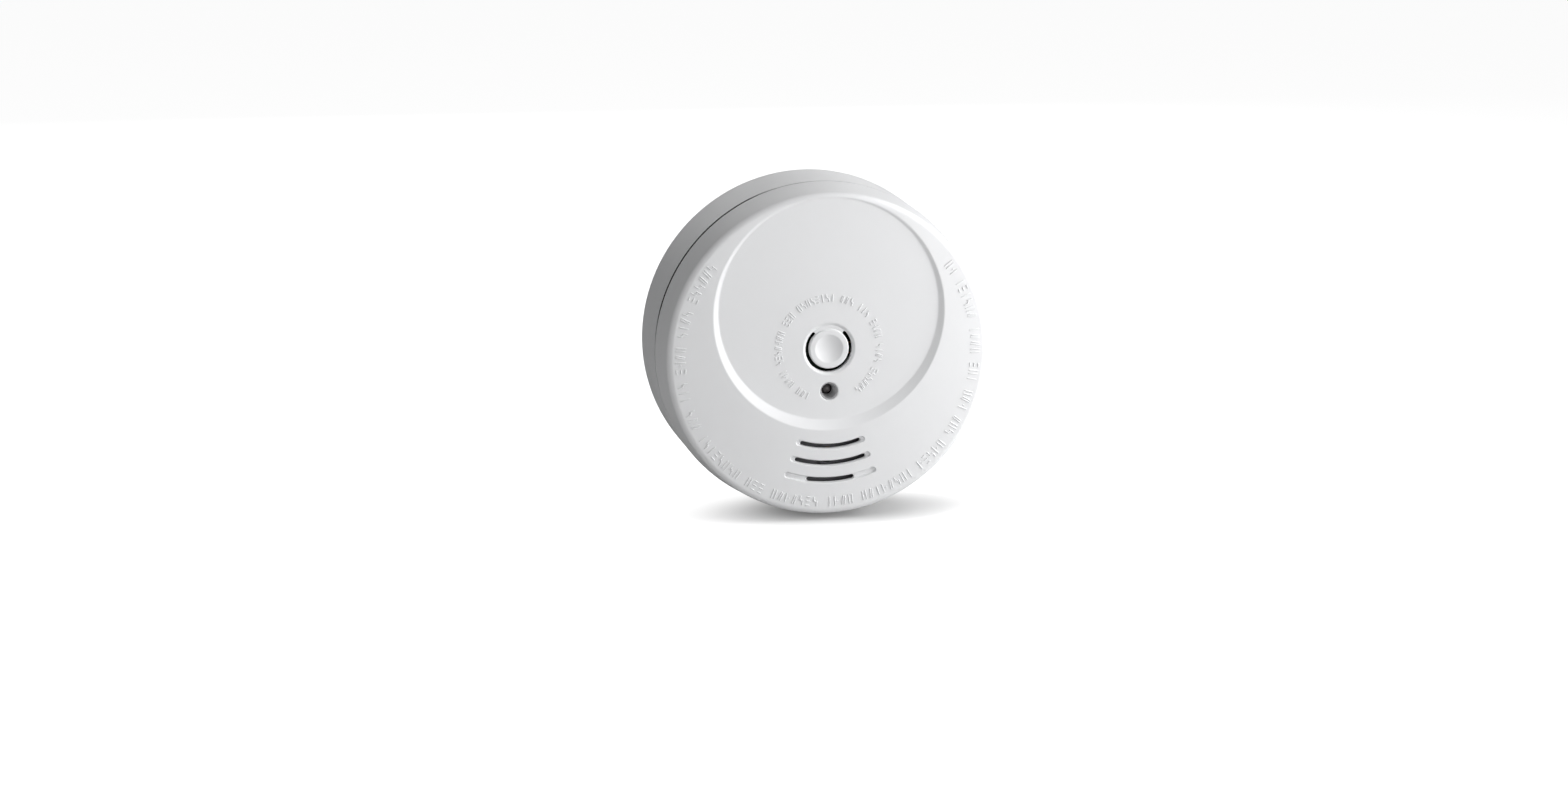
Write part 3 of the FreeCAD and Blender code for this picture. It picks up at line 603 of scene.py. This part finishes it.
def insect_screen(material):
    """Woven wire cylinder round the smoke chamber."""
    shell = Shell()
    middle_y = (screen_low.z + screen_high.z) / 2 / MM
    radius = (screen_high.x - screen_low.x) / 2 / MM - 0.2
    low, high = -screen_high.y / MM, -screen_low.y / MM
    wire = 0.11
    uprights, hoops = 84, 6
    pitch = (high - low) / hoops
    section = around(5)
    for index in range(uprights):
        angle = 2 * math.pi * index / uprights
        side = 1 if index % 2 else -1
        levels = np.linspace(low, high, hoops * 4 + 1)
        sway = radius + side * wire * np.sin((levels - low) / pitch * math.pi)
        previous = None
        for level, reach in zip(levels, sway):
            out = reach + wire * np.cos(section)
            across = wire * np.sin(section)
            ring = shell.ring(out * math.cos(angle) - across * math.sin(angle),
                              middle_y + out * math.sin(angle) + across * math.cos(angle), level)
            if previous:
                shell.bridge(previous, ring)
            else:
                shell.cap(ring[::-1])
            previous = ring
        shell.cap(previous)
    for index in range(hoops):
        level = low + (index + 0.5) * pitch
        side = 1 if index % 2 else -1
        rings = []
        for angle in around(uprights * 4):
            reach = radius + side * wire * math.cos(angle * uprights / 2)
            out = reach + wire * np.cos(section)
            rings.append(shell.ring(out * math.cos(angle), middle_y + out * math.sin(angle),
                                    level + wire * np.sin(section)))
        for first, second in zip(rings, rings[1:] + rings[:1]):
            shell.bridge(first, second)
    return make_piece("screen_weave", shell, material)


# Materials

def node_material(name):
    material = bpy.data.materials.new(name)
    material.use_nodes = True
    nodes, links = material.node_tree.nodes, material.node_tree.links
    shader = nodes["Principled BSDF"]
    place = nodes.new("ShaderNodeTexCoord")
    return material, nodes, links, shader, place.outputs["Object"]


def noise(nodes, links, place, size, detail=2.0):
    """Noise whose features are about size millimetres across."""
    texture = nodes.new("ShaderNodeTexNoise")
    texture.inputs["Scale"].default_value = 1.0 / (size * MM)
    texture.inputs["Detail"].default_value = detail
    links.new(place, texture.inputs["Vector"])
    return texture.outputs["Fac"]


def ramp(nodes, links, factor, stops):
    """Colour ramp from (position, colour) stops."""
    node = nodes.new("ShaderNodeValToRGB")
    elements = node.color_ramp.elements
    while len(elements) < len(stops):
        elements.new(0.5)
    for element, (position, colour) in zip(elements, stops):
        element.position = position
        element.color = (*colour, 1.0)
    links.new(factor, node.inputs["Fac"])
    return node.outputs["Color"]


def spread(nodes, links, factor, low, high):
    node = nodes.new("ShaderNodeMapRange")
    node.inputs["To Min"].default_value = low
    node.inputs["To Max"].default_value = high
    links.new(factor, node.inputs["Value"])
    return node.outputs["Result"]


def bump(nodes, links, height, depth, under=None):
    """Bump of a depth in millimetres, on top of another if one is given."""
    node = nodes.new("ShaderNodeBump")
    node.inputs["Strength"].default_value = 1.0
    node.inputs["Distance"].default_value = depth * MM
    links.new(height, node.inputs["Height"])
    if under is not None:
        links.new(under, node.inputs["Normal"])
    return node.outputs["Normal"]


def shade(colour, factor):
    return tuple(min(channel * factor, 1.0) for channel in colour)


def surface(name, colour, roughness, grain=0.25, relief=0.004, mottle=0.015, metallic=0.0, coat=0.0,
            waviness=0.0, specular=0.5):
    """Material with a fine grain, slow colour and gloss changes, and an optional wide waviness."""
    material, nodes, links, shader, place = node_material(name)
    slow = noise(nodes, links, place, 18.0, 3.0)
    tint = ramp(nodes, links, slow, [(0.3, shade(colour, 1 - mottle)), (0.7, shade(colour, 1 + mottle))])
    links.new(tint, shader.inputs["Base Color"])
    gloss = noise(nodes, links, place, 4.0)
    links.new(spread(nodes, links, gloss, roughness - 0.06, roughness + 0.06), shader.inputs["Roughness"])
    normal = bump(nodes, links, noise(nodes, links, place, grain), relief)
    if waviness:
        normal = bump(nodes, links, noise(nodes, links, place, 9.0, 1.0), waviness, normal)
    links.new(normal, shader.inputs["Normal"])
    shader.inputs["Metallic"].default_value = metallic
    shader.inputs["Coat Weight"].default_value = coat
    shader.inputs["Specular IOR Level"].default_value = specular
    return material


def board_surface():
    """Green solder mask over copper tracks, with the laminate's weave showing faintly."""
    material, nodes, links, shader, place = node_material("board_laminate")
    tracks = nodes.new("ShaderNodeTexVoronoi")
    tracks.feature = "DISTANCE_TO_EDGE"
    tracks.distance = "MANHATTAN"
    tracks.inputs["Scale"].default_value = 1.0 / (5.0 * MM)
    tracks.inputs["Randomness"].default_value = 0.8
    links.new(place, tracks.inputs["Vector"])
    edge = tracks.outputs["Distance"]
    mask = ramp(nodes, links, edge, [(0.10, (0.010, 0.045, 0.018)), (0.14, (0.005, 0.022, 0.010))])
    links.new(mask, shader.inputs["Base Color"])
    weave = nodes.new("ShaderNodeTexChecker")
    weave.inputs["Scale"].default_value = 1.0 / (0.45 * MM)
    links.new(place, weave.inputs["Vector"])
    normal = bump(nodes, links, weave.outputs["Fac"], 0.003)
    relief = ramp(nodes, links, edge, [(0.10, (1, 1, 1)), (0.14, (0, 0, 0))])
    normal = bump(nodes, links, relief, 0.03, normal)
    links.new(normal, shader.inputs["Normal"])
    gloss = noise(nodes, links, place, 2.0)
    links.new(spread(nodes, links, gloss, 0.25, 0.4), shader.inputs["Roughness"])
    return material


def rising(nodes, links, value, low, high):
    """0 where a coordinate is at low, 1 where it is at high, both in millimetres."""
    node = nodes.new("ShaderNodeMapRange")
    node.inputs["From Min"].default_value = low * MM
    node.inputs["From Max"].default_value = high * MM
    links.new(value, node.inputs["Value"])
    return node.outputs["Result"]


def product(nodes, links, first, second):
    node = nodes.new("ShaderNodeMath")
    node.operation = "MULTIPLY"
    links.new(first, node.inputs[0])
    links.new(second, node.inputs[1])
    return node.outputs[0]


def housing_surface():
    """Housing plastic, with painted shade on its lip at the upper left, standing in for the shadow in the
    slit under the cover.
    """
    colour = (0.785, 0.79, 0.80)
    material = surface("housing_plastic", colour, 0.45, grain=0.25, relief=0.0045, mottle=0.008,
                       waviness=0.008)
    nodes, links = material.node_tree.nodes, material.node_tree.links
    shader = nodes["Principled BSDF"]
    unshaded_colour = shader.inputs["Base Color"].links[0].from_socket
    place = nodes.new("ShaderNodeTexCoord").outputs["Object"]
    split = nodes.new("ShaderNodeSeparateXYZ")
    links.new(place, split.inputs["Vector"])
    # painted shade: the lip's face darkens at the upper left, where the slit under the cover lies in shadow
    lip = rising(nodes, links, split.outputs["Y"], -(seam_level - 1.6), -(seam_level - 1.3))
    side = rising(nodes, links, split.outputs["X"], -12, -22)
    upper = rising(nodes, links, split.outputs["Z"], 2, 14)
    painted_shade_mask = product(nodes, links, lip, product(nodes, links, side, upper))
    mixed = nodes.new("ShaderNodeMix")
    mixed.data_type = "RGBA"
    mixed.inputs["B"].default_value = (*PAINTED_SLIT_SHADE, 1.0)
    links.new(painted_shade_mask, mixed.inputs["Factor"])
    links.new(unshaded_colour, mixed.inputs["A"])
    links.new(mixed.outputs["Result"], shader.inputs["Base Color"])
    return material


def banded_surface(name, base, bands, pitch, direction, roughness, metallic=0.0):
    """Printed or lacquered sleeve with plain colour bands across one direction."""
    material, nodes, links, shader, place = node_material(name)
    split = nodes.new("ShaderNodeSeparateXYZ")
    links.new(place, split.inputs["Vector"])
    wave = nodes.new("ShaderNodeMath")
    wave.operation = "PINGPONG"
    wave.inputs[1].default_value = pitch * MM
    links.new(split.outputs[direction], wave.inputs[0])
    share = nodes.new("ShaderNodeMath")
    share.operation = "DIVIDE"
    share.inputs[1].default_value = pitch * MM
    links.new(wave.outputs[0], share.inputs[0])
    node_colour = ramp(nodes, links, share.outputs[0], [(0.0, base)] + list(bands))
    links.new(node_colour, shader.inputs["Base Color"])
    gloss = noise(nodes, links, place, 3.0)
    links.new(spread(nodes, links, gloss, roughness - 0.07, roughness + 0.07), shader.inputs["Roughness"])
    links.new(bump(nodes, links, noise(nodes, links, place, 0.3), 0.004), shader.inputs["Normal"])
    shader.inputs["Metallic"].default_value = metallic
    return material


white = (0.795, 0.80, 0.81)
cover_plastic = surface("cover_plastic", white, 0.42, grain=0.22, relief=0.0035, mottle=0.006,
                        waviness=0.006)
button_plastic = surface("button_plastic", white, 0.38, grain=0.22, relief=0.003, mottle=0.006,
                         waviness=0.004)
housing_plastic = housing_surface()
plate_plastic = surface("plate_plastic", (0.76, 0.76, 0.755), 0.5, grain=0.3, relief=0.006, mottle=0.012,
                        waviness=0.01)
black_plastic = surface("black_plastic", (0.016, 0.016, 0.018), 0.6, grain=0.3, relief=0.008, mottle=0.08)
plunger_plastic = surface("plunger_plastic", (0.62, 0.58, 0.50), 0.45, mottle=0.03)
plated_steel = surface("plated_steel", (0.66, 0.66, 0.63), 0.35, grain=0.4, relief=0.004, mottle=0.06,
                       metallic=1.0)
chip_epoxy = surface("chip_epoxy", (0.022, 0.022, 0.025), 0.62, grain=0.18, relief=0.01, mottle=0.1)
ferrite = surface("ferrite", (0.05, 0.045, 0.045), 0.7, grain=0.2, relief=0.015, mottle=0.15)
ceramic_coating = surface("ceramic_coating", (0.16, 0.07, 0.02), 0.4, grain=0.8, relief=0.03, mottle=0.1,
                          coat=0.4)
spacer_plastic = surface("spacer_plastic", (0.03, 0.03, 0.03), 0.55, mottle=0.08)
funnel_plastic = surface("funnel_plastic", (0.44, 0.44, 0.45), 0.5, grain=0.2, relief=0.006, mottle=0.05)
clear_resin = surface("clear_resin", (0.60, 0.62, 0.70), 0.15, mottle=0.04, coat=0.5)
dark_resin = surface("dark_resin", (0.02, 0.015, 0.03), 0.15, mottle=0.1, coat=0.5)
lamp_resin = surface("lamp_resin", (0.11, 0.10, 0.10), 0.4, grain=0.6, relief=0.003, mottle=0.06, coat=0.1)
screen_wire = surface("screen_wire", (0.55, 0.55, 0.54), 0.4, mottle=0.08, metallic=1.0)
horn_plastic = surface("horn_plastic", (0.10, 0.10, 0.105), 0.55, grain=0.3, relief=0.008, mottle=0.08)
brass_sheet = surface("brass_sheet", (0.42, 0.32, 0.16), 0.35, grain=0.5, relief=0.004, mottle=0.08,
                      metallic=1.0)
piezo_silver = surface("piezo_silver", (0.80, 0.80, 0.78), 0.4, grain=0.3, relief=0.006, mottle=0.05,
                       metallic=0.8)
nickel = surface("nickel", (0.64, 0.61, 0.55), 0.28, grain=0.5, relief=0.003, mottle=0.06, metallic=1.0)
board_laminate = board_surface()
sleeve_blue, sleeve_grey = (0.025, 0.035, 0.09), (0.45, 0.47, 0.5)
capacitor_sleeve = banded_surface("capacitor_sleeve", sleeve_blue, [(0.8, sleeve_blue), (0.82, sleeve_grey)],
                                  3.5, "X", 0.3)
lacquer, band_brown = (0.55, 0.42, 0.24), (0.28, 0.10, 0.03)
resistor_lacquer = banded_surface("resistor_lacquer", lacquer,
                                  [(0.42, lacquer), (0.44, band_brown), (0.62, band_brown), (0.64, lacquer)],
                                  1.1, "X", 0.3)
jacket_black, jacket_copper = (0.05, 0.055, 0.065), (0.62, 0.35, 0.10)
battery_jacket = banded_surface("battery_jacket", jacket_black,
                                [(0.68, jacket_black), (0.685, jacket_copper)], 45.6, "X", 0.3, 0.7)

node_looks = {
    "mounting_plate": plate_plastic, "rear_housing": housing_plastic, "front_cover": cover_plastic,
    "test_button": button_plastic, "switch_body": black_plastic, "switch_plunger": plunger_plastic,
    "circuit_board": board_laminate, "board_screws": plated_steel, "control_chip": chip_epoxy,
    "electrolytic_capacitors": capacitor_sleeve, "horn_choke": ferrite, "resistors": resistor_lacquer,
    "ceramic_capacitors": ceramic_coating, "transistors": chip_epoxy, "reverse_diode": chip_epoxy,
    "indicator_led": lamp_resin, "led_spacer": spacer_plastic, "lamp_funnel": funnel_plastic,
    "chamber_base": black_plastic,
    "infrared_emitter": clear_resin, "photodiode": dark_resin, "chamber_cap": black_plastic,
    "insect_screen": screen_wire, "horn_cup": horn_plastic, "piezo_disc": brass_sheet,
    "piezo_ceramic": piezo_silver, "horn_pins": plated_steel, "horn_cap": horn_plastic,
    "battery_case": battery_jacket, "battery_snaps": nickel, "positive_contact": nickel,
    "negative_contact": nickel,
}
for node_name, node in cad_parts.items():
    node.data.materials.clear()
    node.data.materials.append(node_looks[node_name])

# Pieces
cover = front_cover(cover_plastic)
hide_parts("front_cover")
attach(cover, "head")

rim_marks = raised_marks("rim_marks", cover_plastic, middle_y=0.0, radius=44.2, height=2.6, width=1.6,
                         first=142.0, last=398.0, pitch=2.15)
key_marks = raised_marks("key_marks", cover_plastic, middle_y=button_y, radius=15.2, height=1.9, width=1.1,
                         first=-55.0, last=245.0, pitch=1.5)
for marks in (rim_marks, key_marks):
    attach(marks, "head")

key = test_button(button_plastic)
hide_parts("test_button")
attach(key, "button")

hinge = hinge_film(button_plastic)
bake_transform(hinge)

screen = insect_screen(screen_wire)
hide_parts("insect_screen")
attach(screen, "head")


# Studio
# The floor's glow, seen by the camera only, is painted light: full further off, and faint under the alarm,
# where it paints the alarm's shadow. The shadow is wider than deep, so the distance is taken with y
# squashed.
FLOOR_GLOW_NEAR = 0.10
FLOOR_GLOW_FAR = 0.95
GLOW_START = 0.012
GLOW_END = 0.060
GLOW_SQUASH = 2.0
GLOW_MIDDLE = (0.010, -0.023 * GLOW_SQUASH)
FLOOR_TONE = 0.5
AMBIENT = 0.02
LENS = 62.745
CAMERA_PLACE = (-0.17428, -0.79774, 0.16798)
CAMERA_AIM = (0.20085, 0.95278, -0.22774)


def studio_floor():
    """Wide pale floor that the alarm stands on."""
    half = 40.0
    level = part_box("rear_housing")[0].z
    mesh = bpy.data.meshes.new("floor")
    corners = [(-half, -half, level), (half, -half, level), (half, half, level), (-half, half, level)]
    mesh.from_pydata(corners, [], [(0, 1, 2, 3)])
    floor = bpy.data.objects.new("floor", mesh)
    bpy.context.scene.collection.objects.link(floor)
    material, nodes, links, shader, place = node_material("floor_paper")
    paper = (FLOOR_TONE, FLOOR_TONE, FLOOR_TONE)
    cloud = noise(nodes, links, place, 30.0)
    tone = ramp(nodes, links, cloud, [(0.3, shade(paper, 0.98)), (0.7, shade(paper, 1.02))])
    links.new(tone, shader.inputs["Base Color"])
    shader.inputs["Roughness"].default_value = 0.8
    shader.inputs["Specular IOR Level"].default_value = 0.2
    shader.inputs["Emission Color"].default_value = (1.0, 1.0, 1.0, 1.0)
    # painted light and painted shadow: camera-only emission, dimmed under the alarm into a contact shadow
    path = nodes.new("ShaderNodeLightPath")
    reach = nodes.new("ShaderNodeVectorMath")
    reach.operation = "DISTANCE"
    reach.inputs[1].default_value = (*GLOW_MIDDLE, level)
    squash = nodes.new("ShaderNodeMapping")
    squash.inputs["Scale"].default_value = (1.0, GLOW_SQUASH, 1.0)
    links.new(place, squash.inputs["Vector"])
    links.new(squash.outputs["Vector"], reach.inputs[0])
    far = nodes.new("ShaderNodeMapRange")
    far.interpolation_type = "SMOOTHSTEP"
    far.inputs["From Min"].default_value = GLOW_START
    far.inputs["From Max"].default_value = GLOW_END
    far.inputs["To Min"].default_value = FLOOR_GLOW_NEAR
    far.inputs["To Max"].default_value = FLOOR_GLOW_FAR
    links.new(reach.outputs["Value"], far.inputs["Value"])
    seen = nodes.new("ShaderNodeMath")
    seen.operation = "MULTIPLY"
    links.new(path.outputs["Is Camera Ray"], seen.inputs[0])
    links.new(far.outputs["Result"], seen.inputs[1])
    links.new(seen.outputs[0], shader.inputs["Emission Strength"])
    mesh.materials.append(material)
    return floor


def soft_box(name, direction, distance, size, power, target=(0.0, -0.018, 0.0)):
    """Square soft light aimed at the alarm."""
    lamp = bpy.data.lights.new(name, "AREA")
    lamp.shape = "SQUARE"
    lamp.size = size
    lamp.energy = power
    holder = bpy.data.objects.new(name, lamp)
    aim = Vector(direction).normalized()
    holder.location = Vector(target) + aim * distance
    holder.rotation_mode = "QUATERNION"
    holder.rotation_quaternion = aim.to_track_quat("Z", "Y")
    holder.visible_camera = False
    bpy.context.scene.collection.objects.link(holder)
    return holder


def studio_camera():
    """Eye slightly above the alarm and to its left."""
    lens = bpy.data.cameras.new("camera")
    lens.sensor_width = 36.0
    lens.lens = LENS
    lens.clip_start, lens.clip_end = 0.01, 100.0
    camera = bpy.data.objects.new("camera", lens)
    camera.location = CAMERA_PLACE
    look = Vector(CAMERA_AIM)
    camera.rotation_mode = "QUATERNION"
    camera.rotation_quaternion = look.to_track_quat("-Z", "Y")
    bpy.context.scene.collection.objects.link(camera)
    bpy.context.scene.camera = camera


studio_floor()
soft_box("right_light", (0.92, -0.35, 0.15), 0.36, 0.25, 1.30)
soft_box("high_light", (0.75, -0.25, 0.65), 0.60, 0.40, 1.90)
soft_box("low_light", (0.35, -0.95, 0.02), 0.60, 0.30, 1.12)
soft_box("left_light", (-0.80, -0.50, 0.30), 0.60, 0.40, 0.82)
soft_box("back_light", (0.05, 0.93, 0.36), 0.90, 0.60, 1.50)
soft_box("top_light", (0.00, 0.00, 1.00), 0.60, 0.30, 0.42)
world = bpy.data.worlds.new("studio")
world.use_nodes = True
world.node_tree.nodes["Background"].inputs["Color"].default_value = (1.0, 1.0, 1.0, 1.0)
world.node_tree.nodes["Background"].inputs["Strength"].default_value = AMBIENT
bpy.context.scene.world = world
bpy.context.scene.view_settings.view_transform = "Standard"
studio_camera()
